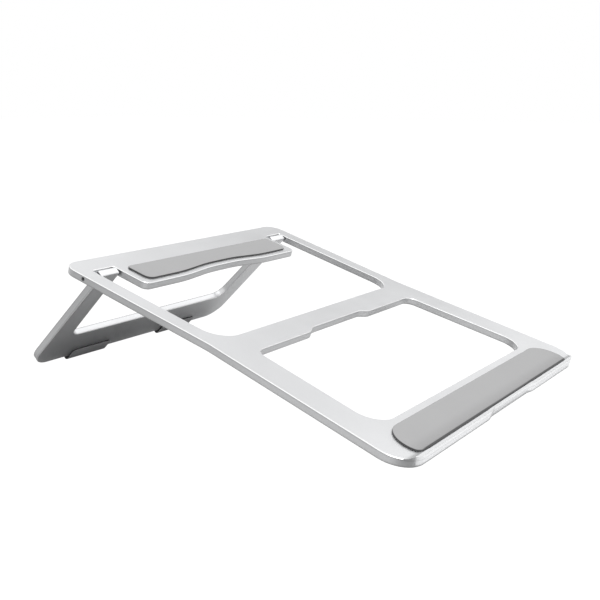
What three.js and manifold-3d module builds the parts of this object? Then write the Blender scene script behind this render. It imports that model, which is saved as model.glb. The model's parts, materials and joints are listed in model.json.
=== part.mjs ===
// Folding aluminium laptop stand: a sloping top plate with a front lip, and a leg frame that swings
// down from two hinge pins at the rear. Millimetres, +Z up, +X to the user's right, +Y to the rear.
//
// Plate frame: v = X to the right, u = distance forward of the rear edge (so u = -Y), w = Z above the
// top face. Leg frame: v = X, s = distance from the hinge line (so s = -Y), q = Z. With the leg folded
// flat the two frames are parallel.
import * as THREE from "three";
import { mergeVertices } from "three/addons/utils/BufferGeometryUtils.js";
import Module from "manifold-3d";

const wasm = await Module();
wasm.setup();

// ---- driving sizes ----

const sheet = 4.5; // thickness of the plate and of the leg
const chamfer = 0.35; // polished chamfer on every edge of both
const touchGap = 0.05; // between pieces that rest on each other

const plateLength = 243;
const rearWidth = 208;
const waist = 112.5; // the sides run parallel back of here and flare in front of it
const flare = 0.099; // sideways run of each side per unit of length in front of the waist
const rearCornerRadius = 10;
const frontCornerRadius = 15.5;
const waistRadius = 60;

const sideRail = 10.3; // width of the rails beside the rear window
const crossbarRear = 112.9;
const crossbarDepth = 18.1;
const rearWindowRadius = 15;
const frontRail = 19.9; // width of the rails beside the front window
const frontWindowTaper = 0.107;
const frontStrip = 29.1; // front window to the front edge
const frontWindowRearRadius = 7;
const frontWindowFrontRadius = 13.5;
const notchRadius = 1.2;

const tabFront = 41.5;
const tabRadius = 4.5;

const coveRadius = 5;
const lipRise = 1.8; // top of the metal lip above the plate
const lipLand = 1.8; // flat strip on top of the lip

const legOpenAngle = 119.5; // degrees from folded flat to the stop
const hingeInset = 18.1; // hinge line from the rear edge
const armWidth = 14.4;
const armClearance = 1.5; // arm to tab, each side
const foldClearance = 0.85; // foot to crossbar with the leg folded
const legBar = 27.35; // height of the lower bar
const legWindowRadius = 8;
const legWindowTaper = 2; // how much wider each arm is at the bar than at its end
const armEndRadius = 0.6;
const stopGap = 0.06; // leg to the edge that stops it
const swingClearance = 0.5; // end of the arm to the notch as it turns

const pinRadius = 1;
const runningClearance = 0.05;
const bushWall = 0.45;
const bushInset = 0.2; // each end of a bush below the side of the arm
const pinInTab = 5;
const plugRadius = 1.15;
const plugLength = 2.4;
const plugRecess = 0.8;
const plugSocketAcrossFlats = 1.1;
const plugSocketDepth = 1.2;
const washerRadius = 1.7;
const washerPlay = 0.2; // each side

const padThickness = 1;
const adhesiveThickness = 0.15;
const adhesiveInset = 1; // inside the outline of its pad
const padEdgeRounding = 0.25;
const rearPadInset = 3.6; // from the front edge of the tab
const rearPadSideInset = 5.9;
const rearPadDepth = 18.9;
const rearPadFrontRadius = 5;
const rearPadRearRadius = 2.5;
const frontPadGap = 5; // front window to the pad
const frontPadSideInset = 16.1; // from the sides of the plate at its front edge
const frontPadRearRadius = 14;
const frontPadFrontRadius = 8;

const footWidth = 34;
const footCentre = 43.5; // from the middle of the leg
const footSkin = 0.9;
const footFrontCover = 7.5; // how far the foot runs up the front face of the leg
const footRearCover = 4.5;
const footPanelRadius = 3; // upper corners of the panel on the front face
const footNose = 3.6; // rubber below the lower edge of the leg
const footNoseRadius = 1.5;
const footHeelRadius = 2.6;

const frontFootLength = 30;
const frontFootCentre = 78;
const frontFootInset = 9; // from the lip
const frontFootRadius = 2.4;
const frontFootDrop = 0.9; // centre of its round below the plate
const frontFootPocket = 0.5;
const pocketClearance = 0.25;
const footFlat = 0.12; // depth of the moulded flat on which each foot stands

// Shallow finger recesses: [half length at the bottom, half length at the mouth, depth, radius].
const tabRecess = [13, 40, 3.3, 110];
const crossbarRecess = [26.5, 33, 3.3, 8];
const lipRecess = [25.5, 31.5, 0.95, 14];
const lipRecessOffset = 8; // to the right of the middle

const arcStep = THREE.MathUtils.degToRad(9); // longest turn of one straight piece of an arc
const fewestArcSteps = 4;
const arcSegments = 10;
const roundSegments = 28;
const overshoot = 1; // how far a cutting solid runs past what it cuts

const sides = [
  ["left", -1],
  ["right", 1],
];

// ---- derived places ----

const halfSheet = sheet / 2;
const rearHalf = rearWidth / 2;
const windowHalf = rearHalf - sideRail;
const tabHalf = windowHalf - armWidth - 2 * armClearance;
const armInner = tabHalf + armClearance;
const armOuter = armInner + armWidth;
const crossbarFront = crossbarRear + crossbarDepth;
const frontWindowFront = plateLength - frontStrip;
const halfWidthAt = (u) => rearHalf + flare * (u - waist);
const frontWindowHalfAt = (u) =>
  halfWidthAt(crossbarFront) - frontRail * Math.hypot(1, flare) + frontWindowTaper * (u - crossbarFront);

const openAngle = THREE.MathUtils.degToRad(legOpenAngle);
const overCentre = openAngle - Math.PI / 2;
// The leg's rear face comes to rest against the lower edge of the notch.
const notchReach =
  (halfSheet + stopGap + halfSheet * Math.sin(overCentre)) / Math.cos(overCentre);
const notchRear = hingeInset - notchReach;
const legLength = crossbarRear - hingeInset - footNose - foldClearance;
const armReach = Math.sqrt((notchReach - swingClearance) ** 2 - halfSheet ** 2);

const coveAngle = Math.acos(1 - lipRise / coveRadius);
const coveRun = coveRadius * Math.sin(coveAngle);
const coveStart = plateLength - lipLand - coveRun;

const rearPadFront = tabFront - rearPadInset;
const rearPadRear = rearPadFront - rearPadDepth;
const rearPadHalf = tabHalf - rearPadSideInset;

// ---- solids ----

function toSolid(geometry) {
  const bare = new THREE.BufferGeometry();
  bare.setAttribute("position", geometry.getAttribute("position"));
  if (geometry.index) bare.setIndex(geometry.index);
  const merged = mergeVertices(bare, 1e-4);
  return new wasm.Manifold(
    new wasm.Mesh({
      numProp: 3,
      vertProperties: new Float32Array(merged.attributes.position.array),
      triVerts: new Uint32Array(merged.index.array),
    }),
  );
}

function toGeometry(solid) {
  const mesh = solid.getMesh();
  const geometry = new THREE.BufferGeometry();
  geometry.setAttribute("position", new THREE.BufferAttribute(mesh.vertProperties, 3));
  geometry.setIndex(new THREE.BufferAttribute(mesh.triVerts, 1));
  geometry.computeVertexNormals();
  return geometry;
}

// A closed outline through corners [across, forward, radius], each corner rounded by its radius.
// The corners are listed clockwise as seen from above, and the outline runs the other way.
function outline(corners) {
  const points = corners.map(([across, forward]) => new THREE.Vector2(across, -forward));
  const clockwise = corners.flatMap(([, , radius], i) => {
    const here = points[i];
    const before = points[(i + points.length - 1) % points.length].clone().sub(here).normalize();
    const after = points[(i + 1) % points.length].clone().sub(here).normalize();
    const halfAngle = Math.acos(before.dot(after)) / 2;
    const bisector = before.clone().add(after).normalize();
    const centre = here.clone().addScaledVector(bisector, radius / Math.sin(halfAngle));
    const spoke = here.clone().addScaledVector(before, radius / Math.tan(halfAngle)).sub(centre);
    const turn = (Math.PI - 2 * halfAngle) * Math.sign(after.cross(before));
    const steps = Math.max(fewestArcSteps, Math.ceil(Math.abs(turn) / arcStep));
    return Array.from({ length: steps + 1 }, (_, k) =>
      spoke.clone().rotateAround(new THREE.Vector2(), (turn * k) / steps).add(centre),
    );
  });
  return clockwise.reverse();
}

// The corners of a finger recess that goes back from an edge, from left to right.
function recessCorners(edge, [bottom, mouth, depth, radius], middle = 0) {
  return [
    [middle - mouth, edge, radius],
    [middle - bottom, edge - depth, radius],
    [middle + bottom, edge - depth, radius],
    [middle + mouth, edge, radius],
  ];
}

// An outline with windows, extruded from one height to another with all its edges bevelled.
function slab(rim, low, high, bevel = 0, bevelSegments = 1, windows = []) {
  const shape = new THREE.Shape(rim);
  shape.holes = windows.map((window) => new THREE.Path(window));
  const geometry = new THREE.ExtrudeGeometry(shape, {
    depth: high - low - 2 * bevel,
    curveSegments: arcSegments,
    bevelEnabled: bevel > 0,
    bevelSize: bevel,
    bevelThickness: bevel,
    bevelOffset: -bevel,
    bevelSegments,
  });
  geometry.translate(0, 0, low + bevel);
  return toSolid(geometry);
}

// A section drawn as (Y, Z), extruded along X and centred at x.
function bar(section, x, length) {
  const geometry = new THREE.ExtrudeGeometry(section, {
    depth: length,
    curveSegments: arcSegments,
    bevelEnabled: false,
  });
  const turn = new THREE.Matrix4().makeBasis(
    new THREE.Vector3(0, 1, 0),
    new THREE.Vector3(0, 0, 1),
    new THREE.Vector3(1, 0, 0),
  );
  geometry.applyMatrix4(turn);
  geometry.translate(x - length / 2, 0, 0);
  return toSolid(geometry);
}

// A round rod along X between two places on the hinge line or any line parallel to it.
function rod(radius, from, to, y, z, sides = roundSegments) {
  const geometry = new THREE.CylinderGeometry(radius, radius, Math.abs(to - from), sides);
  geometry.rotateZ(Math.PI / 2);
  geometry.translate((from + to) / 2, y, z);
  return toSolid(geometry);
}

const finishes = {
  aluminium: { color: 0xd9dadb, roughness: 0.42, metalness: 0.9 },
  steel: { color: 0x8e9195, roughness: 0.35, metalness: 1 },
  blackSteel: { color: 0x2b2c2e, roughness: 0.5, metalness: 0.8 },
  bearing: { color: 0x3f4043, roughness: 0.6, metalness: 0 },
  silicone: { color: 0xb9babb, roughness: 0.75, metalness: 0 },
  darkSilicone: { color: 0x5b5c5e, roughness: 0.8, metalness: 0 },
  adhesive: { color: 0xe6e4dc, roughness: 0.9, metalness: 0 },
};

function piece(name, finish, solid) {
  const mesh = new THREE.Mesh(toGeometry(solid), new THREE.MeshStandardMaterial(finishes[finish]));
  mesh.name = name;
  return mesh;
}

// ---- top plate ----

const flareAt = (u) => [halfWidthAt(u), u];
const plateCorners = [
  [-rearHalf, 0, rearCornerRadius],
  [rearHalf, 0, rearCornerRadius],
  [rearHalf, waist, waistRadius],
  [...flareAt(plateLength), frontCornerRadius],
  ...recessCorners(plateLength, lipRecess, lipRecessOffset).reverse(),
  [-halfWidthAt(plateLength), plateLength, frontCornerRadius],
  [-rearHalf, waist, waistRadius],
];

const rearWindow = [
  [-windowHalf, notchRear, notchRadius],
  [-tabHalf, notchRear, notchRadius],
  [-tabHalf, tabFront, tabRadius],
  ...recessCorners(tabFront, tabRecess),
  [tabHalf, tabFront, tabRadius],
  [tabHalf, notchRear, notchRadius],
  [windowHalf, notchRear, notchRadius],
  [windowHalf, crossbarRear, rearWindowRadius],
  [-windowHalf, crossbarRear, rearWindowRadius],
];

const frontWindow = [
  [-frontWindowHalfAt(crossbarFront), crossbarFront, frontWindowRearRadius],
  ...recessCorners(crossbarFront, crossbarRecess),
  [frontWindowHalfAt(crossbarFront), crossbarFront, frontWindowRearRadius],
  [frontWindowHalfAt(frontWindowFront), frontWindowFront, frontWindowFrontRadius],
  [-frontWindowHalfAt(frontWindowFront), frontWindowFront, frontWindowFrontRadius],
];

// The inside surface of the lip: flat, then a cove, raised by a distance off the metal.
function insideOfLip(offset, upTo) {
  const points = [];
  for (let i = 0; i <= arcSegments; i += 1) {
    const turn = (coveAngle * i) / arcSegments;
    const radius = coveRadius - offset;
    points.push([coveStart + radius * Math.sin(turn), coveRadius - radius * Math.cos(turn)]);
  }
  const [lastU, lastW] = points[points.length - 1];
  points.push([upTo, lastW + (upTo - lastU) * Math.tan(coveAngle)]);
  return points;
}

function profile(points) {
  return new THREE.Shape(points.map(([u, w]) => new THREE.Vector2(-u, w)));
}

function lipSolid() {
  const tall = slab(outline(plateCorners), -sheet, lipRise, chamfer);
  const keep = profile([
    [coveStart, -sheet - overshoot],
    ...insideOfLip(0, plateLength - lipLand),
    [plateLength - lipLand, lipRise + overshoot],
    [plateLength + overshoot, lipRise + overshoot],
    [plateLength + overshoot, -sheet - overshoot],
  ]);
  return tall.intersect(bar(keep, 0, 2 * (halfWidthAt(plateLength) + overshoot)));
}

function frontFootSection(grow, top, flatTurn) {
  const y = -(plateLength - frontFootInset);
  const z = -sheet - frontFootDrop;
  const radius = frontFootRadius + grow;
  const section = new THREE.Shape();
  section.moveTo(y + radius, top);
  section.lineTo(y - radius, top);
  section.lineTo(y - radius, z);
  if (flatTurn === undefined) {
    section.lineTo(y + radius, z);
  } else {
    const half = Math.acos(1 - footFlat / frontFootRadius);
    section.absarc(y, z, radius, Math.PI, flatTurn - half, false);
    section.absarc(y, z, radius, flatTurn + half, 2 * Math.PI, false);
  }
  section.closePath();
  return section;
}

function topPlate() {
  const windows = [outline(rearWindow), outline(frontWindow)];
  let plate = slab(outline(plateCorners), -sheet, 0, chamfer, 1, windows).add(lipSolid());
  for (const [, side] of sides) {
    const pinBore = rod(
      pinRadius + runningClearance,
      side * (tabHalf - pinInTab - touchGap),
      side * (rearHalf - plugRecess),
      -hingeInset,
      -halfSheet,
    );
    const plugBore = rod(
      plugRadius + touchGap,
      side * (rearHalf - plugRecess - plugLength - touchGap),
      side * (rearHalf + overshoot),
      -hingeInset,
      -halfSheet,
    );
    const pocket = bar(
      frontFootSection(pocketClearance, frontFootPocket - sheet),
      side * frontFootCentre,
      frontFootLength + 2 * pocketClearance,
    );
    plate = plate.subtract(pinBore).subtract(plugBore).subtract(pocket);
  }
  return plate;
}

// ---- hinge ----

function hingePin(side) {
  const inner = side * (tabHalf - pinInTab);
  const outer = side * (rearHalf - plugRecess - plugLength - 2 * touchGap);
  return rod(pinRadius, inner, outer, -hingeInset, -halfSheet);
}

function hingePlug(side) {
  const outer = rearHalf - plugRecess;
  const body = rod(plugRadius, side * (outer - plugLength), side * outer, -hingeInset, -halfSheet);
  const socket = rod(
    plugSocketAcrossFlats / 2 / Math.cos(Math.PI / 6),
    side * (outer - plugSocketDepth),
    side * (outer + overshoot),
    -hingeInset,
    -halfSheet,
    6,
  );
  return body.subtract(socket);
}

// Bushes and washers turn with the leg, on the hinge line, which is the leg frame's X axis.
const bushRadius = pinRadius + runningClearance + bushWall;

function tube(inner, outer, from, to) {
  const past = Math.sign(to - from) * overshoot;
  return rod(outer, from, to, 0, 0).subtract(rod(inner, from - past, to + past, 0, 0));
}

function hingeBush(side) {
  return tube(
    pinRadius + runningClearance,
    bushRadius,
    side * (armInner + bushInset),
    side * (armOuter - bushInset),
  );
}

function washer(side, from, to) {
  return tube(
    pinRadius + runningClearance,
    washerRadius,
    side * (from + washerPlay),
    side * (to - washerPlay),
  );
}

// ---- leg ----

const legCornerRadius = rearWindowRadius - (windowHalf - armOuter);

function legFrame() {
  const barTop = legLength - legBar;
  const windowAtBar = armInner - legWindowTaper;
  const rim = outline([
    [-armOuter, -armReach, armEndRadius],
    [-armInner, -armReach, armEndRadius],
    [-windowAtBar, barTop, legWindowRadius],
    [windowAtBar, barTop, legWindowRadius],
    [armInner, -armReach, armEndRadius],
    [armOuter, -armReach, armEndRadius],
    [armOuter, legLength, legCornerRadius],
    [-armOuter, legLength, legCornerRadius],
  ]);
  let frame = slab(rim, -halfSheet, halfSheet, chamfer);
  for (const [, side] of sides) {
    const from = side * (armInner - overshoot);
    const to = side * (armOuter + overshoot);
    frame = frame.subtract(rod(bushRadius + touchGap, from, to, 0, 0));
  }
  return frame;
}

// ---- how it stands ----

const footFace = halfSheet + touchGap + footSkin;
const footEnd = legLength + footNose;
const noseS = footEnd - footNoseRadius;
const noseQ = footFace - footNoseRadius;
// Centres of the two rounds that touch the table, in the plate frame.
const legContact = {
  u: hingeInset + noseS * Math.cos(openAngle) + noseQ * Math.sin(openAngle),
  w: -halfSheet - noseS * Math.sin(openAngle) + noseQ * Math.cos(openAngle),
};
const frontContact = {
  u: plateLength - frontFootInset,
  w: -sheet - frontFootDrop,
};
const run = frontContact.u - legContact.u;
const rise = frontContact.w - legContact.w;
const slope =
  Math.atan2(rise, run) + Math.asin((footNoseRadius - frontFootRadius) / Math.hypot(run, rise));

// ---- feet and pads ----

// A rubber boot around the lower edge of the leg, with a flat where it stands.
function legFoot(side) {
  const down = 1.5 * Math.PI - slope - openAngle;
  const half = Math.acos(1 - footFlat / footNoseRadius);
  const inner = halfSheet + touchGap;
  const frontTop = -(legLength - footFrontCover);
  const rearTop = -(legLength - footRearCover);
  const section = new THREE.Shape();
  section.moveTo(frontTop, inner);
  section.lineTo(-(legLength + touchGap), inner);
  section.lineTo(-(legLength + touchGap), -inner);
  section.lineTo(rearTop, -inner);
  section.lineTo(rearTop, -footFace);
  section.lineTo(-(footEnd - footHeelRadius), -footFace);
  section.absarc(
    -(footEnd - footHeelRadius),
    -footFace + footHeelRadius,
    footHeelRadius,
    1.5 * Math.PI,
    Math.PI,
    true,
  );
  section.absarc(-noseS, noseQ, footNoseRadius, Math.PI, down + half, true);
  section.absarc(-noseS, noseQ, footNoseRadius, down - half, Math.PI / 2, true);
  section.lineTo(frontTop, footFace);
  section.closePath();
  const left = side * footCentre - footWidth / 2;
  const right = left + footWidth;
  const below = footEnd + footPanelRadius + overshoot;
  const face = outline([
    [left, -frontTop, footPanelRadius],
    [right, -frontTop, footPanelRadius],
    [right, below, footPanelRadius],
    [left, below, footPanelRadius],
  ]);
  const boot = bar(section, side * footCentre, footWidth);
  return boot.intersect(slab(face, -footFace - overshoot, footFace + overshoot));
}

function frontFoot(side) {
  const top = frontFootPocket - sheet - adhesiveThickness - 2 * touchGap;
  const section = frontFootSection(0, top, 1.5 * Math.PI - slope);
  return bar(section, side * frontFootCentre, frontFootLength);
}

function frontFootAdhesive(side) {
  const top = frontFootPocket - sheet - touchGap;
  const y = -(plateLength - frontFootInset);
  const section = new THREE.Shape();
  section.moveTo(y - frontFootRadius, top - adhesiveThickness);
  section.lineTo(y + frontFootRadius, top - adhesiveThickness);
  section.lineTo(y + frontFootRadius, top);
  section.lineTo(y - frontFootRadius, top);
  section.closePath();
  return bar(section, side * frontFootCentre, frontFootLength);
}

const padSeat = touchGap + adhesiveThickness + touchGap;

function rearPadOutline(inset) {
  const half = rearPadHalf - inset;
  return outline([
    [-half, rearPadRear + inset, rearPadRearRadius],
    [half, rearPadRear + inset, rearPadRearRadius],
    [half, rearPadFront - inset, rearPadFrontRadius],
    ...recessCorners(rearPadFront - inset, tabRecess).reverse(),
    [-half, rearPadFront - inset, rearPadFrontRadius],
  ]);
}

const rearPad = () =>
  slab(rearPadOutline(0), padSeat, padSeat + padThickness, padEdgeRounding, 2);
const rearPadAdhesive = () =>
  slab(rearPadOutline(adhesiveInset), touchGap, touchGap + adhesiveThickness);

const frontPadFront = plateLength - lipLand + touchGap;
const frontPadHalf = halfWidthAt(plateLength) - frontPadSideInset;

function frontPadOutline(inset) {
  const half = frontPadHalf - inset;
  const rear = frontWindowFront + frontPadGap + inset;
  const room = frontPadFront - inset - rear - frontPadFrontRadius;
  const rearRadius = Math.min(frontPadRearRadius, room - padEdgeRounding);
  return outline([
    [-half, rear, rearRadius],
    [half, rear, rearRadius],
    [half, frontPadFront - inset, frontPadFrontRadius],
    ...recessCorners(frontPadFront - inset, lipRecess, lipRecessOffset).reverse(),
    [-half, frontPadFront - inset, frontPadFrontRadius],
  ]);
}

// A layer that lies on the front strip and curls up inside the lip.
function curledLayer(low, high, inset) {
  const section = profile([
    [frontWindowFront, low],
    ...insideOfLip(low, plateLength),
    ...insideOfLip(high, plateLength).reverse(),
    [frontWindowFront, high],
  ]);
  const strip = bar(section, 0, 2 * (frontPadHalf + overshoot));
  return strip.intersect(slab(frontPadOutline(inset), 0, 2 * coveRadius));
}

const frontPad = () => curledLayer(padSeat, padSeat + padThickness, 0);
const frontPadAdhesive = () => curledLayer(touchGap, touchGap + adhesiveThickness, adhesiveInset);

// ---- assembly ----

const plateGroup = new THREE.Group();
plateGroup.rotation.x = slope;
plateGroup.add(
  piece("top_plate", "aluminium", topPlate()),
  piece("rear_pad", "silicone", rearPad()),
  piece("rear_pad_adhesive", "adhesive", rearPadAdhesive()),
  piece("front_pad", "silicone", frontPad()),
  piece("front_pad_adhesive", "adhesive", frontPadAdhesive()),
);

const legGroup = new THREE.Group();
legGroup.position.set(0, -hingeInset, -halfSheet);
legGroup.rotation.x = openAngle;
legGroup.add(piece("leg_frame", "aluminium", legFrame()));
plateGroup.add(legGroup);

for (const [word, side] of sides) {
  plateGroup.add(
    piece(`hinge_pin_${word}`, "steel", hingePin(side)),
    piece(`hinge_plug_${word}`, "blackSteel", hingePlug(side)),
    piece(`front_foot_${word}`, "darkSilicone", frontFoot(side)),
    piece(`front_foot_adhesive_${word}`, "adhesive", frontFootAdhesive(side)),
  );
  legGroup.add(
    piece(`hinge_bush_${word}`, "bearing", hingeBush(side)),
    piece(`washer_outer_${word}`, "bearing", washer(side, armOuter, windowHalf)),
    piece(`washer_inner_${word}`, "bearing", washer(side, tabHalf, armInner)),
    piece(`leg_foot_${word}`, "darkSilicone", legFoot(side)),
  );
}

// The origin is at the middle of the footprint, on the table.
const stand = new THREE.Group();
stand.add(plateGroup);
stand.updateMatrixWorld(true);
const bounds = new THREE.Box3().setFromObject(stand, true);
const middle = bounds.getCenter(new THREE.Vector3());
plateGroup.position.set(-middle.x, -middle.y, -bounds.min.z);

export default stand;
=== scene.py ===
import json
import math

import bmesh
import bpy
from mathutils import Matrix, Vector


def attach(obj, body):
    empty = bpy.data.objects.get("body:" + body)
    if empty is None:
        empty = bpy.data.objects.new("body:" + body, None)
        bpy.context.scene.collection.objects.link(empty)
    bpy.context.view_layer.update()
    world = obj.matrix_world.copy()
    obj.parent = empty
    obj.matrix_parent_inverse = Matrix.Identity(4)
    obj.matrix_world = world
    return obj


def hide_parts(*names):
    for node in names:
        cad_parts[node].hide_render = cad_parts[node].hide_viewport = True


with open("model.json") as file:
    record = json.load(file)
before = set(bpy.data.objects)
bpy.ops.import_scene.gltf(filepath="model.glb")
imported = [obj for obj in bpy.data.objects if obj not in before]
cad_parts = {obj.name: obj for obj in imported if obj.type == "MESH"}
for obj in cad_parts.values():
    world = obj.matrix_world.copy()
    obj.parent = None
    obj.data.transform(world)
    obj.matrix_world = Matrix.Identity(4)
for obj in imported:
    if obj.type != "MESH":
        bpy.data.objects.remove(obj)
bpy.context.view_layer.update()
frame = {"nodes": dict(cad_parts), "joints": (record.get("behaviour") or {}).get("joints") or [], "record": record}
nodes = frame["nodes"]
print("stand: frame loaded,", len(nodes), "pieces")


mounts = {mount["name"]: mount for mount in frame["record"]["mounts"]}
hinge = frame["joints"][0]
across = Vector((1, 0, 0))
plateUp = Vector(mounts["laptop_rest_rear"]["axis"]).normalized()
openTurn = Matrix.Rotation(math.radians(hinge["range_deg"][1]), 3, "X")
legUp = openTurn @ plateUp


# rows are across, towards the back, and out of the face
def axesFor(up):
    return Matrix((across, up.cross(across), up))


plateAxes = axesFor(plateUp)
legAxes = axesFor(legUp)


# lowest and highest corner of a node, measured along tilted axes
def tiltedBox(name, axes):
    points = [axes @ vertex.co for vertex in nodes[name].data.vertices]
    low = Vector([min(point[i] for point in points) for i in range(3)])
    high = Vector([max(point[i] for point in points) for i in range(3)])
    return low, high


plateLow = tiltedBox("top_plate", plateAxes)[0]
legLow, legHigh = tiltedBox("leg_frame", legAxes)
sheetThickness = legHigh.z - legLow.z
rearPadLow, rearPadHigh = tiltedBox("rear_pad", plateAxes)
padThickness = rearPadHigh.z - rearPadLow.z
frontPadEdge = tiltedBox("front_pad", plateAxes)[0].y


# a node socket that adds its own maths nodes when it is used in an expression
class Wire:
    def __init__(self, tree, socket):
        self.tree = tree
        self.socket = socket

    def make(self, kind, settings=None, inputs=None, pick=0):
        node = self.tree.nodes.new(kind)
        for name, value in (settings or {}).items():
            setattr(node, name, value)
        for name, value in (inputs or {}).items():
            if isinstance(value, Wire):
                self.tree.links.new(value.socket, node.inputs[name])
            else:
                node.inputs[name].default_value = value
        return Wire(self.tree, node.outputs[pick])

    def maths(self, operation, first, second):
        return self.make("ShaderNodeMath", {"operation": operation}, {0: first, 1: second})

    def __add__(self, other):
        return self.maths("ADD", self, other)

    def __radd__(self, other):
        return self.maths("ADD", other, self)

    def __sub__(self, other):
        return self.maths("SUBTRACT", self, other)

    def __rsub__(self, other):
        return self.maths("SUBTRACT", other, self)

    def __mul__(self, other):
        return self.maths("MULTIPLY", self, other)

    def __rmul__(self, other):
        return self.maths("MULTIPLY", other, self)

    def __abs__(self):
        return self.make("ShaderNodeMath", {"operation": "ABSOLUTE"}, {0: self})

    # the part of a vector that lies along a direction
    def along(self, direction):
        ends = {0: self, 1: tuple(direction)}
        return self.make("ShaderNodeVectorMath", {"operation": "DOT_PRODUCT"}, ends, pick="Value")

    # passes from low to high while the value passes from start to stop
    def fade(self, start, stop, low=0.0, high=1.0, curve="SMOOTHSTEP"):
        ends = {"Value": self, "From Min": start, "From Max": stop, "To Min": low, "To Max": high}
        return self.make("ShaderNodeMapRange", {"interpolation_type": curve}, ends)


# an empty material with its shader, and a wire to start from: the place on the piece
def startMaterial(name):
    material = bpy.data.materials.new(name)
    material.use_nodes = True
    tree = material.node_tree
    shader = tree.nodes["Principled BSDF"]
    return material, shader, Wire(tree, None).make("ShaderNodeTexCoord", pick="Object")


def feed(shader, name, wire):
    wire.tree.links.new(wire.socket, shader.inputs[name])


# noise from -1 to 1, with features of about the given size in metres
def noise(place, size, detail=2.0, roughness=0.5):
    value = place.make(
        "ShaderNodeTexNoise",
        {"noise_dimensions": "3D"},
        {"Vector": place, "Scale": 1 / size, "Detail": detail, "Roughness": roughness},
    )
    return (value - 0.5) * 2


# a mix of two colours, each one a wire or plain red, green and blue
def blend(place, factor, first, second):
    ends = {"Factor": factor}
    for slot, colour in ((6, first), (7, second)):  # the colour sockets of a Mix node
        ends[slot] = colour if isinstance(colour, Wire) else (*colour, 1)
    return place.make("ShaderNodeMix", {"data_type": "RGBA"}, ends, pick=2)  # its colour result


# painted shade: keeps a share of a colour and turns the rest to black
def withPaintedShade(colour, share):
    return blend(colour, share, (0, 0, 0), colour)


def scaled(colour, share):
    return tuple(min(1, channel * share) for channel in colour)


# a colour that goes from a darker to a lighter share of itself with a factor from 0 to 1
def mottled(place, factor, colour, darker, lighter):
    return blend(place, factor, scaled(colour, darker), scaled(colour, lighter))


# how far a face looks along one of the piece's own directions, from -1 to 1
def facing(place, direction):
    normal = place.make(
        "ShaderNodeVectorTransform",
        {"vector_type": "NORMAL", "convert_from": "WORLD", "convert_to": "OBJECT"},
        {"Vector": place.make("ShaderNodeNewGeometry", pick="True Normal")},
    )
    return normal.along(direction)


def bump(place, height, depth):
    return place.make("ShaderNodeBump", None, {"Height": height, "Distance": depth, "Strength": 1.0})


aluminium = {
    "colour": (0.80, 0.805, 0.815),
    "toneShift": 0.012,  # slow change of tone over the sheet
    "cloudSize": 0.045,
    "smudgeSize": 0.012,
    "grainSize": 0.00028,  # bead-blast pits
    "grainShift": 0.03,
    "grainDepth": 0.000010,
    "roughness": 0.42,
    "roughnessShift": 0.05,
    "wallRoughness": 0.33,
    "wallCloudSize": 0.02,
    "wallDepth": 0.000004,
    "millPitch": 0.0005,  # cutter lines along the cut edges
    "lowShade": 0.70,  # painted shade on a wall where it meets its lower chamfer
    "lowReach": 0.0014,
    "highShade": 0.84,  # thin line of painted shade just below the upper chamfer
    "highPlace": 0.0007,  # below the upper face
    "highReach": 0.0006,
    "edgeColour": (0.93, 0.935, 0.94),
    "edgeRoughness": 0.16,
    "edgeDepth": 0.000002,
    "streakSize": 0.008,
    "nickSize": 0.0006,
    "underShade": 0.40,  # painted shade on the chamfers that face down
}


def blastedAluminium():
    spec = aluminium
    material, shader, place = startMaterial("blasted aluminium")
    shader.inputs["Metallic"].default_value = 1.0
    grain = noise(place, spec["grainSize"], 3.0, 0.65)
    cloud = noise(place, spec["cloudSize"])
    smudge = noise(place, spec["smudgeSize"], 4.0)
    shift = spec["grainShift"] + spec["toneShift"]
    factor = 0.5 + grain * 0.35 + cloud * 0.4 + smudge * 0.12
    feed(shader, "Base Color", mottled(place, factor, spec["colour"], 1 - shift, 1 + shift))
    roughness = spec["roughness"] + (cloud * 0.5 + smudge * 0.5) * spec["roughnessShift"]
    feed(shader, "Roughness", roughness)
    feed(shader, "Normal", bump(place, grain, spec["grainDepth"]))
    return material


# the cut walls keep faint cutter lines that run along the edge, and have painted shade near both their edges
def milledAluminium(up, bottom, name):
    spec = aluminium
    material, shader, place = startMaterial(name)
    shader.inputs["Metallic"].default_value = 1.0
    height = place.along(up)
    phase = height * (2 * math.pi / spec["millPitch"])
    lines = place.make("ShaderNodeMath", {"operation": "SINE"}, {0: phase})
    grain = noise(place, spec["grainSize"] * 1.5)
    cloud = noise(place, spec["wallCloudSize"])
    factor = 0.5 + grain * 0.3 + cloud * 0.3 + lines * 0.15
    tone = mottled(place, factor, spec["colour"], 0.93, 1.03)
    # painted shade: darker where the wall meets its lower chamfer, and in a thin line below the upper one
    lowEdgeShade = (height - bottom).fade(0.0, spec["lowReach"], spec["lowShade"])
    line = bottom + sheetThickness - spec["highPlace"]
    highEdgeShade = abs(height - line).fade(0.0, spec["highReach"], spec["highShade"])
    feed(shader, "Base Color", withPaintedShade(tone, lowEdgeShade * highEdgeShade))
    feed(shader, "Roughness", spec["wallRoughness"] + cloud * 0.04 + grain * 0.03)
    feed(shader, "Normal", bump(place, lines * 0.35 + grain * 0.65, spec["wallDepth"]))
    return material


def polishedEdge(up, name):
    spec = aluminium
    material, shader, place = startMaterial(name)
    shader.inputs["Metallic"].default_value = 1.0
    streak = noise(place, spec["streakSize"], 3.0)
    nick = noise(place, spec["nickSize"])
    tone = mottled(place, 0.5 + streak * 0.4 + nick * 0.2, spec["edgeColour"], 0.95, 1.03)
    # painted shade: chamfers that face down are darker
    shade = facing(place, up).fade(-0.3, 0.3, spec["underShade"], curve="LINEAR")
    feed(shader, "Base Color", withPaintedShade(tone, shade))
    feed(shader, "Roughness", spec["edgeRoughness"] + streak * 0.04 + nick * 0.03)
    feed(shader, "Normal", bump(place, nick, spec["edgeDepth"]))
    return material


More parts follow.
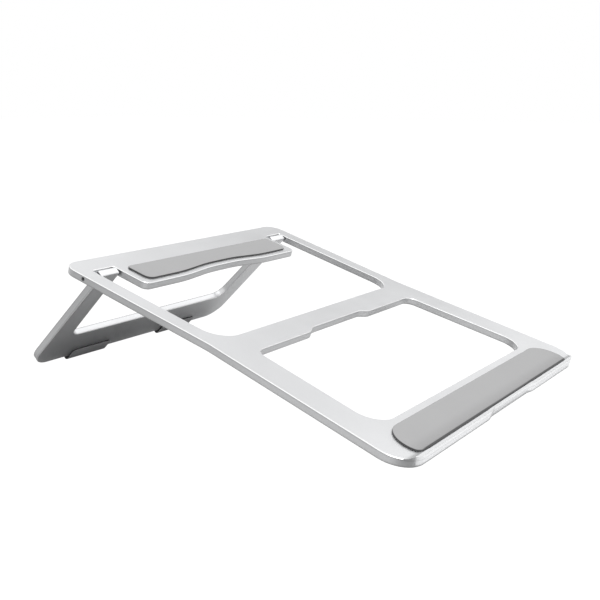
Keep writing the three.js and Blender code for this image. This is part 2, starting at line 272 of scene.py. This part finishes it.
# a new piece with a copy of a node's mesh, and its faces with their loose triangles merged
def mergedCopy(name, ending, materials):
    piece = bpy.data.objects.new(name + ending, nodes[name].data.copy())
    bpy.context.scene.collection.objects.link(piece)
    piece.data.materials.clear()
    for material in materials:
        piece.data.materials.append(material)
    work = bmesh.new()
    work.from_mesh(piece.data)
    bmesh.ops.remove_doubles(work, verts=work.verts, dist=1e-6)
    return piece, work


# edges that bend by less than the limit, in degrees, look smooth
def smoothEdges(work, limit):
    for edge in work.edges:
        edge.smooth = edge.calc_face_angle(math.pi) < math.radians(limit)


def writeBack(work, mesh):
    work.to_mesh(mesh)
    work.free()
    if "custom_normal" in mesh.attributes:
        mesh.attributes.remove(mesh.attributes["custom_normal"])


sheetPart = {
    "faceAbove": 0.9,  # how square to the sheet a face lies to count as blasted
    "wallBelow": 0.25,  # and how little to count as a cut wall
    "coveDepth": 0.006,  # the cove stays within this of the front edge
    "coveLean": (0.1, 0.2),  # and its faces look at least this much back and up
    "smoothBelow": 32.0,  # degrees
}


# sorts the faces of a sheet part into blasted, cut wall and chamfer
# a cove in front of the cove edge counts as blasted
def finishSheet(name, axes, body, materials, coveEdge=None):
    piece, work = mergedCopy(name, "_finished", materials)
    leanBack, leanUp = sheetPart["coveLean"]
    for face in work.faces:
        normal = axes @ face.normal
        place = axes @ face.calc_center_median()
        inFront = coveEdge is not None and place.y < coveEdge
        cove = inFront and normal.y > leanBack and normal.z > leanUp
        square = abs(normal.z)
        if square > sheetPart["faceAbove"] or cove:
            face.material_index = 0
        elif square < sheetPart["wallBelow"]:
            face.material_index = 1
        else:
            face.material_index = 2
        face.smooth = True
    smoothEdges(work, sheetPart["smoothBelow"])
    writeBack(work, piece.data)
    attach(piece, body)
    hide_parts(name)


blasted = blastedAluminium()
plateFinish = [
    blasted,
    milledAluminium(plateUp, plateLow.z, "milled plate wall"),
    polishedEdge(plateUp, "plate chamfer"),
]
legFinish = [
    blasted,
    milledAluminium(legUp, legLow.z, "milled leg wall"),
    polishedEdge(legUp, "leg chamfer"),
]
finishSheet("top_plate", plateAxes, "plate", plateFinish, plateLow.y + sheetPart["coveDepth"])
finishSheet("leg_frame", legAxes, "leg", legFinish)
print("stand: plate and leg finished")


rubber = {
    "pad": (0.385, 0.385, 0.388),
    # the wall colours are painted shade, darker than the faces
    "padWallShade": (0.07, 0.07, 0.072),
    "padRoughness": 0.62,
    "foot": (0.45, 0.45, 0.46),
    "footWallShade": (0.035, 0.035, 0.036),
    "footRoughness": 0.7,
    "gloss": 0.35,
    "grainSize": 0.00045,
    "grainDepth": 0.000025,
    "cloudSize": 0.03,
    "dustSize": 0.006,
    "faceFrom": 0.35,  # how square to the pad a face lies, where the painted wall shade gives way
    "faceTo": 0.8,
    "lipShadeLine": (0.0009, 0.0021),  # painted shade line under the lip, measured back from the front of the pad
    "curlShade": 0.88,  # painted shade: the curled part is a little darker
    "curlShadeReach": (0.003, 0.010),
}


# curled rubber has a painted shade line at its front edge and a stretch of painted shade behind it
def siliconeRubber(name, colour, wallShade, up, roughness, curled=False):
    material, shader, place = startMaterial(name)
    shader.inputs["Specular IOR Level"].default_value = rubber["gloss"]
    # painted shade: faces that lie across the pad take the dark wall colour
    face = abs(facing(place, up)).fade(rubber["faceFrom"], rubber["faceTo"])
    grain = noise(place, rubber["grainSize"], 2.0, 0.6)
    cloud = noise(place, rubber["cloudSize"])
    dust = noise(place, rubber["dustSize"], 5.0, 0.7)
    factor = 0.5 + grain * 0.25 + cloud * 0.35 + dust * 0.15
    flat = mottled(place, factor, colour, 0.95, 1.05)
    if curled:
        behind = place.along(up.cross(across)) - frontPadEdge
        face = face * behind.fade(*rubber["lipShadeLine"])
        flat = withPaintedShade(flat, behind.fade(*rubber["curlShadeReach"], rubber["curlShade"]))
    feed(shader, "Base Color", blend(place, face, wallShade, flat))
    feed(shader, "Roughness", roughness + cloud * 0.03 + dust * 0.04)
    feed(shader, "Normal", bump(place, grain * 0.7 + dust * 0.3, rubber["grainDepth"]))
    return material


padRubber = siliconeRubber(
    "pad silicone", rubber["pad"], rubber["padWallShade"], plateUp, rubber["padRoughness"], curled=True
)
footRubber = siliconeRubber(
    "foot silicone", rubber["foot"], rubber["footWallShade"], legUp, rubber["footRoughness"]
)
frontFootRubber = siliconeRubber(
    "front foot silicone", rubber["foot"], rubber["foot"], plateUp, rubber["footRoughness"]
)


hingeParts = {
    "pin": (0.56, 0.57, 0.58),
    "pinRoughness": 0.28,
    "plug": (0.11, 0.11, 0.115),
    "plugRoughness": 0.45,
    "turningScale": 900.0,  # lathe marks
    "turningDepth": 0.000004,
    "spotSize": 0.0008,
    "bearing": (0.06, 0.06, 0.065),
    "bearingRoughness": 0.5,
    "adhesive": (0.78, 0.76, 0.70),
    "adhesiveRoughness": 0.4,
    "flowSize": 0.003,  # flow marks in what is moulded
    "skinSize": 0.0003,
    "skinDepth": 0.000008,
}


def turnedSteel(name, colour, roughness, metallic):
    material, shader, place = startMaterial(name)
    shader.inputs["Metallic"].default_value = metallic
    turning = place.make(
        "ShaderNodeTexWave",
        {"wave_type": "BANDS", "bands_direction": "X"},
        {"Vector": place, "Scale": hingeParts["turningScale"], "Distortion": 1.5, "Detail": 2.0},
        pick="Fac",
    )
    spots = noise(place, hingeParts["spotSize"], 3.0)
    factor = 0.5 + spots * 0.3 + (turning - 0.5) * 0.3
    feed(shader, "Base Color", mottled(place, factor, colour, 0.85, 1.1))
    feed(shader, "Roughness", roughness + spots * 0.06)
    feed(shader, "Normal", bump(place, turning, hingeParts["turningDepth"]))
    return material


def mouldedPlastic(name, colour, roughness):
    material, shader, place = startMaterial(name)
    flow = noise(place, hingeParts["flowSize"], 3.0)
    skin = noise(place, hingeParts["skinSize"])
    feed(shader, "Base Color", mottled(place, 0.5 + flow * 0.3 + skin * 0.2, colour, 0.9, 1.1))
    feed(shader, "Roughness", roughness + flow * 0.05)
    feed(shader, "Normal", bump(place, skin, hingeParts["skinDepth"]))
    return material


def dress(name, material):
    piece = nodes[name]
    piece.data.materials.clear()
    piece.data.materials.append(material)


pinSteel = turnedSteel("ground steel pin", hingeParts["pin"], hingeParts["pinRoughness"], 1.0)
plugSteel = turnedSteel("black oxide plug", hingeParts["plug"], hingeParts["plugRoughness"], 0.6)
bearingPlastic = mouldedPlastic(
    "bearing plastic", hingeParts["bearing"], hingeParts["bearingRoughness"]
)
adhesiveFilm = mouldedPlastic(
    "adhesive film", hingeParts["adhesive"], hingeParts["adhesiveRoughness"]
)
for side in ("left", "right"):
    dress("hinge_pin_" + side, pinSteel)
    dress("hinge_plug_" + side, plugSteel)
    dress("hinge_bush_" + side, bearingPlastic)
    dress("washer_outer_" + side, bearingPlastic)
    dress("washer_inner_" + side, bearingPlastic)
    dress("front_foot_adhesive_" + side, adhesiveFilm)
dress("rear_pad_adhesive", adhesiveFilm)
dress("front_pad_adhesive", adhesiveFilm)
print("stand: hinge parts dressed")


rearPad = {
    "rearRadius": 0.0025,
    "frontRadius": 0.005,
    "recess": (0.013, 0.040, 0.0033, 0.110),  # half bottom, half mouth, depth, radius
    "recessMiddle": 0.0,
    "shoulder": 0.0005,
    "bendRadius": 0.0,
    "bendTurn": 0.0,
}
frontPad = {
    "rearRadius": 0.014,
    "frontRadius": 0.008,
    "recess": (0.0255, 0.0315, 0.00095, 0.014),
    "recessMiddle": 0.008,
    "shoulder": 0.0006,
    "bendRadius": 0.005,  # the cove inside the lip
    "bendTurn": 50.2,  # degrees
}
padMaking = {
    "arcStep": 6.0,  # degrees between the points of a rounded corner
    "spacing": 0.0009,
    "shoulderCuts": 8,
    "shoulderFrom": 0.8,  # share of the thickness where the wall starts to lean in
    "bendCuts": 9,
    "flatAbove": 0.9999,
    "smoothBelow": 40.0,  # degrees
}


# corners [across, back, radius] anticlockwise, each rounded by its radius
def roundedLoop(corners):
    points = []
    count = len(corners)
    for i, (x, y, radius) in enumerate(corners):
        here = Vector((x, y))
        before = (Vector(corners[i - 1][:2]) - here).normalized()
        after = (Vector(corners[(i + 1) % count][:2]) - here).normalized()
        half = before.angle(after) / 2
        centre = here + (before + after).normalized() * (radius / math.sin(half))
        spoke = here + before * (radius / math.tan(half)) - centre
        turn = math.pi - 2 * half
        if before.x * after.y - before.y * after.x > 0:
            turn = -turn
        steps = max(4, math.ceil(abs(turn) / math.radians(padMaking["arcStep"])))
        for k in range(steps + 1):
            bend = turn * k / steps
            side = Vector((-spoke.y, spoke.x))
            points.append(centre + spoke * math.cos(bend) + side * math.sin(bend))
    return points


def padLoop(low, high, spec):
    bottom, mouth, depth, radius = spec["recess"]
    middle = spec["recessMiddle"]
    return roundedLoop(
        [
            [low.x, low.y, spec["frontRadius"]],
            [middle - mouth, low.y, radius],
            [middle - bottom, low.y + depth, radius],
            [middle + bottom, low.y + depth, radius],
            [middle + mouth, low.y, radius],
            [high.x, low.y, spec["frontRadius"]],
            [high.x, high.y, spec["rearRadius"]],
            [low.x, high.y, spec["rearRadius"]],
        ]
    )


# Geometry Nodes tree: a rounded shoulder follows the pad's outline, and the pad is closed above and below
def padTree():
    tree = bpy.data.node_groups.new("pad from outline", "GeometryNodeTree")
    group = tree.interface
    group.new_socket("Geometry", in_out="INPUT", socket_type="NodeSocketGeometry")
    named = [
        group.new_socket(name, in_out="INPUT", socket_type="NodeSocketFloat")
        for name in ("Thickness", "Shoulder", "Spacing")
    ]
    named.append(group.new_socket("Material", in_out="INPUT", socket_type="NodeSocketMaterial"))
    group.new_socket("Geometry", in_out="OUTPUT", socket_type="NodeSocketGeometry")

    entry = tree.nodes.new("NodeGroupInput")
    leave = tree.nodes.new("NodeGroupOutput")
    outline, thickness, shoulder, spacing, material = [
        Wire(tree, socket) for socket in entry.outputs[:5]
    ]
    add = outline.make
    loop = add("GeometryNodeMeshToCurve", None, {"Mesh": outline})
    even = add("GeometryNodeResampleCurve", {"mode": "LENGTH"}, {"Curve": loop, "Length": spacing})
    level = add("GeometryNodeSetCurveNormal", {"mode": "Z_UP"}, {"Curve": even})
    inwards = shoulder * -1.0
    # the section's Y runs down the pad, so heights are negative in it
    full = thickness * -1.0
    start = add("ShaderNodeCombineXYZ")
    rise = add("ShaderNodeCombineXYZ", None, {"Y": full * padMaking["shoulderFrom"]})
    lean = add("ShaderNodeCombineXYZ", None, {"X": inwards * 0.2, "Y": full})
    top = add("ShaderNodeCombineXYZ", None, {"X": inwards, "Y": full})
    section = add(
        "GeometryNodeCurvePrimitiveBezierSegment",
        {"mode": "POSITION"},
        {
            "Resolution": padMaking["shoulderCuts"],
            "Start": start,
            "Start Handle": rise,
            "End Handle": lean,
            "End": top,
        },
    )
    rim = add("GeometryNodeCurveToMesh", None, {"Curve": level, "Profile Curve": section})
    outwards = add("GeometryNodeInputNormal")
    shift = add("ShaderNodeVectorMath", {"operation": "SCALE"}, {0: outwards, "Scale": inwards})
    inner = add("GeometryNodeSetPosition", None, {"Geometry": level, "Offset": shift})
    filled = add("GeometryNodeFillCurve", None, {"Curve": inner})
    up = add("ShaderNodeCombineXYZ", None, {"Z": thickness})
    lid = add("GeometryNodeSetPosition", None, {"Geometry": filled, "Offset": up})
    base = add("GeometryNodeFillCurve", None, {"Curve": level})
    under = add("GeometryNodeFlipFaces", None, {"Mesh": base})
    joined = add("GeometryNodeJoinGeometry")
    for part in (under, lid, rim):
        tree.links.new(part.socket, joined.socket.node.inputs[0])
    closed = add("GeometryNodeMergeByDistance", None, {"Geometry": joined, "Distance": 0.00002})
    plain = add("GeometryNodeRealizeInstances", None, {"Geometry": closed})
    done = add("GeometryNodeSetMaterial", None, {"Geometry": plain, "Material": material})
    tree.links.new(done.socket, leave.inputs[0])
    return tree, [socket.identifier for socket in named]


# curls what lies in front of the bend up the inside of the lip
def curl(work, start, spec):
    turn = math.radians(spec["bendTurn"])
    radius = spec["bendRadius"]
    cuts = padMaking["bendCuts"]
    for i in range(cuts + 1):
        bmesh.ops.bisect_plane(
            work,
            geom=[*work.verts, *work.edges, *work.faces],
            plane_co=(0, start - radius * turn * i / cuts, 0),
            plane_no=(0, 1, 0),
            dist=1e-7,
        )
    for vertex in work.verts:
        past = start - vertex.co.y
        if past > 0:
            bend = min(past / radius, turn)
            rest = past - radius * bend
            arm = radius - vertex.co.z
            vertex.co.y = start - arm * math.sin(bend) - rest * math.cos(bend)
            vertex.co.z = radius - arm * math.cos(bend) + rest * math.sin(bend)


# the flat pad as a plain mesh, made from its outline
def flatPad(name, low, high, spec, material):
    outline = bpy.data.meshes.new(name + " outline")
    loop = padLoop(low, high, spec)
    outline.from_pydata(
        [(point.x, point.y, 0) for point in loop],
        [(i, (i + 1) % len(loop)) for i in range(len(loop))],
        [],
    )
    source = bpy.data.objects.new(name + " outline", outline)
    bpy.context.scene.collection.objects.link(source)
    tree, identifiers = padTree()
    modifier = source.modifiers.new("pad", "NODES")
    modifier.node_group = tree
    values = (padThickness, spec["shoulder"], padMaking["spacing"], material)
    for identifier, value in zip(identifiers, values):
        modifier[identifier] = value
    graph = bpy.context.evaluated_depsgraph_get()
    mesh = bpy.data.meshes.new_from_object(source.evaluated_get(graph))
    bpy.data.objects.remove(source)
    return mesh


def makePad(name, spec, material):
    low, high = tiltedBox(name, plateAxes)
    turn = math.radians(spec["bendTurn"])
    run = spec["bendRadius"] * math.sin(turn)
    bendStart = low.y + run
    low.y -= spec["bendRadius"] * turn - run
    mesh = flatPad(name, low, high, spec, material)
    work = bmesh.new()
    work.from_mesh(mesh)
    if spec["bendRadius"]:
        curl(work, bendStart, spec)
    bmesh.ops.recalc_face_normals(work, faces=work.faces)
    for vertex in work.verts:
        vertex.co = plateAxes.transposed() @ (vertex.co + Vector((0, 0, low.z)))
    work.normal_update()
    for face in work.faces:
        face.smooth = face.normal.dot(plateUp) < padMaking["flatAbove"]
    smoothEdges(work, padMaking["smoothBelow"])
    writeBack(work, mesh)
    piece = bpy.data.objects.new(name + "_moulded", mesh)
    bpy.context.scene.collection.objects.link(piece)
    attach(piece, "plate")
    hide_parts(name)


makePad("rear_pad", rearPad, padRubber)
makePad("front_pad", frontPad, padRubber)
print("stand: pads moulded")


feet = {
    "rounding": 0.0004,
    "segments": 3,
    "flatBelow": 1.0,  # degrees between faces that become one
    "roundAbove": 50.0,
    "smoothBelow": 35.0,
}


def makeFoot(name, body, material):
    piece, work = mergedCopy(name, "_moulded", [material])
    bmesh.ops.dissolve_limit(
        work, angle_limit=math.radians(feet["flatBelow"]), verts=work.verts, edges=work.edges
    )
    limit = math.radians(feet["roundAbove"])
    bmesh.ops.bevel(
        work,
        geom=[edge for edge in work.edges if edge.calc_face_angle(0) > limit],
        offset=feet["rounding"],
        segments=feet["segments"],
        profile=0.5,
        affect="EDGES",
        clamp_overlap=True,
    )
    for face in work.faces:
        face.smooth = True
    smoothEdges(work, feet["smoothBelow"])
    writeBack(work, piece.data)
    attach(piece, body)
    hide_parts(name)


for side in ("left", "right"):
    makeFoot("leg_foot_" + side, "leg", footRubber)
    makeFoot("front_foot_" + side, "plate", frontFootRubber)
print("stand: feet moulded")


studio = {
    "floorReach": 6.0,
    "floorShade": 0.52,
    "floorRoughness": 0.9,
    # patches of painted shade on the floor, which the leg, the left wall and the front left corner mirror: place,
    # depth, inner and outer reach
    "shadePatches": [
        [(-0.05, 0.10, 0.0), 0.45, 0.03, 0.13],
        [(-0.38, 0.36, 0.0), 0.38, 0.10, 0.42],
        [(-0.116, -0.156, 0.0), 0.75, 0.004, 0.028],
    ],
    "floorGlow": 0.93,  # how much of the floor's look is its own clean white
    "glowStrength": 1.12,
    "sky": 1.16,
    "horizon": 0.77,
    # flags darken part of the sky, for the plate and the left wall to mirror, and a negative depth
    # brightens it: direction, depth, cosine at the rim
    "flags": [
        [(0.855, 0.422, 0.302), 0.72, 0.94],
        [(-0.622, 0.783, 0.0), 0.45, 0.80],
        [(0.71, -0.224, 0.652), -0.40, 0.89],
    ],
    # lights, unseen by the camera: place, what it points at, width, height, power
    "lights": {
        "key light": [(-0.6, -0.9, 1.4), (0, 0, 0), 1.2, 1.2, 6],
        "lip card": [(0.2225, -0.2968, 0.0006), (0.2225, -0.2968, 1), 0.655, 0.31, 0.34],
    },
    "lens": 58.2,
    "cameraPlace": (-0.4849, -0.3314, 0.1677),
    "cameraAzimuth": 56.04,  # from the rear axis towards the right
    "cameraPitch": 11.77,  # downwards
}


# a mix of two shaders, by a share from 0 to 1
def layered(place, share, first, second):
    return place.make("ShaderNodeMixShader", None, {0: share, 1: first, 2: second})


def makeFloor():
    mesh = bpy.data.meshes.new("floor")
    reach = studio["floorReach"]
    corners = [(-reach, -reach, 0), (reach, -reach, 0), (reach, reach, 0), (-reach, reach, 0)]
    mesh.from_pydata(corners, [], [(0, 1, 2, 3)])
    floor = bpy.data.objects.new("floor", mesh)
    bpy.context.scene.collection.objects.link(floor)
    material, shader, place = startMaterial("pale floor")
    shade = studio["floorShade"]
    # painted shade: each patch darkens the floor's colour towards its middle
    for middle, depth, near, edge in studio["shadePatches"]:
        ends = {0: place, 1: middle}
        away = place.make("ShaderNodeVectorMath", {"operation": "DISTANCE"}, ends, pick="Value")
        shade = away.fade(near, edge, 1 - depth) * shade
    feed(shader, "Base Color", shade)
    shader.inputs["Roughness"].default_value = studio["floorRoughness"]
    tree = material.node_tree
    glow = place.make("ShaderNodeEmission", None, {"Strength": studio["glowStrength"]})
    seen = place.make("ShaderNodeLightPath", pick="Is Camera Ray") * studio["floorGlow"]
    lit = layered(place, seen, Wire(tree, shader.outputs[0]), glow)
    # clear from below, so that the underside can be seen
    clear = place.make("ShaderNodeBsdfTransparent")
    below = place.make("ShaderNodeNewGeometry", pick="Backfacing")
    feed(tree.nodes["Material Output"], "Surface", layered(place, below, lit, clear))
    mesh.materials.append(material)


def makeWorld():
    world = bpy.data.worlds.new("studio")
    bpy.context.scene.world = world
    world.use_nodes = True
    tree = world.node_tree
    background = tree.nodes["Background"]
    background.inputs["Color"].default_value = (1, 1, 1, 1)
    place = Wire(tree, None).make("ShaderNodeTexCoord", pick="Generated")
    height = place.make("ShaderNodeSeparateXYZ", None, {"Vector": place}, pick="Z")
    ramp = height.fade(-0.1, 0.9, studio["horizon"], studio["sky"])
    for direction, depth, rim in studio["flags"]:
        ramp = ramp - place.along(direction).fade(rim, 1.0, 0.0, depth)
    seen = place.make("ShaderNodeLightPath", pick="Is Camera Ray")
    feed(background, "Strength", seen + (1 - seen) * ramp)


def makeLight(name, place, target, width, height, power):
    light = bpy.data.lights.new(name, "AREA")
    light.shape = "RECTANGLE"
    light.size = width
    light.size_y = height
    light.energy = power
    lamp = bpy.data.objects.new(name, light)
    lamp.location = place
    lamp.rotation_euler = (Vector(target) - Vector(place)).to_track_quat("-Z", "Y").to_euler()
    lamp.visible_camera = False
    bpy.context.scene.collection.objects.link(lamp)


def makeCamera():
    camera = bpy.data.cameras.new("camera")
    camera.sensor_width = 36.0
    camera.lens = studio["lens"]
    camera.clip_start = 0.01
    camera.clip_end = 50.0
    eye = bpy.data.objects.new("camera", camera)
    azimuth = math.radians(studio["cameraAzimuth"])
    pitch = math.radians(studio["cameraPitch"])
    look = Vector(
        (math.sin(azimuth) * math.cos(pitch), math.cos(azimuth) * math.cos(pitch), -math.sin(pitch))
    )
    eye.location = studio["cameraPlace"]
    eye.rotation_euler = look.to_track_quat("-Z", "Y").to_euler()
    bpy.context.scene.collection.objects.link(eye)
    bpy.context.scene.camera = eye


makeFloor()
makeWorld()
for lightName, settings in studio["lights"].items():
    makeLight(lightName, *settings)
makeCamera()
bpy.context.scene.view_settings.view_transform = "Standard"
print("stand: studio ready")
